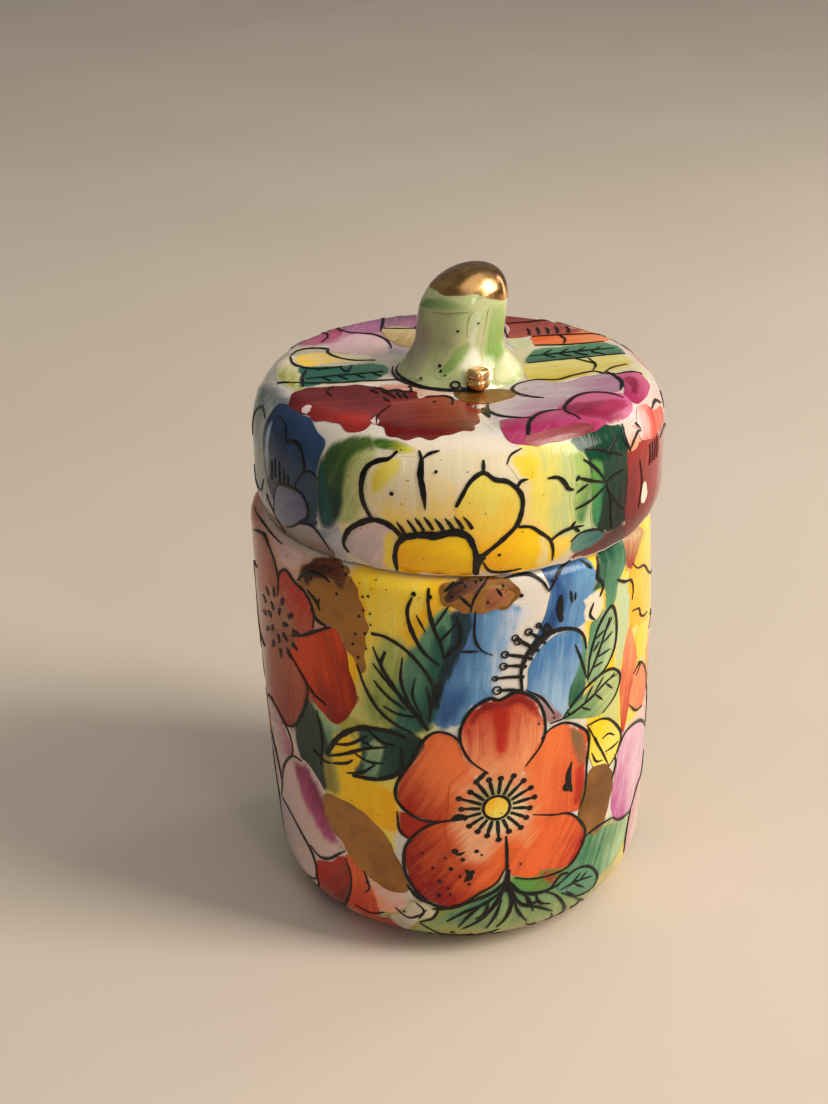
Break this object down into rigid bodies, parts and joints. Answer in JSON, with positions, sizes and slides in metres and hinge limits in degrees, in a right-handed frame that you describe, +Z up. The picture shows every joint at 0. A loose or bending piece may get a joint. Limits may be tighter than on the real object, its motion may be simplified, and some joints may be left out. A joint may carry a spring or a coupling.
{
  "type": "lidded porcelain jar",
  "caption": "Small straight-sided porcelain jar with a rounded base and a deep cap lid that lifts off a collar, painted all over with flowers, with a green finial with a gilded tip.",
  "frame": {"origin": "on the surface that the jar stands on, midway between the axes of the jar and of its loose lid (1 mm apart)", "axes": "+Z up, -Y is the painted front, +X to the right seen from the front"},
  "size_m": [0.0513, 0.05, 0.0833],
  "materials": {
    "painted_porcelain": "glossy white glaze with painted flowers",
    "enamel_paint": "glossy translucent enamel, brushed",
    "black_outline": "satin printed black",
    "green_glaze": "glossy pale green glaze",
    "gold_lustre": "fired gold lustre",
    "bare_porcelain": "unglazed, ground"
  },
  "bodies": {
    "jar": {"jar_body": "painted_porcelain"},
    "lid_carrier": {"lid_guide_ring": "bare_porcelain"},
    "lid": {"lid_shell": "painted_porcelain", "finial": "green_glaze", "finial_bud": "gold_lustre"}
  },
  "joints": [
    {"name": "lid_lift", "type": "slide", "parent": "jar", "child": "lid_carrier", "axis": [0.03, 0, 0.9996], "range_m": [0, 0.05]},
    {"name": "lid_turn", "type": "hinge", "parent": "lid_carrier", "child": "lid", "pos_m": [0.0005, 0, 0.05397], "axis": [0.03, 0, 0.9996], "continuous": true}
  ]
}
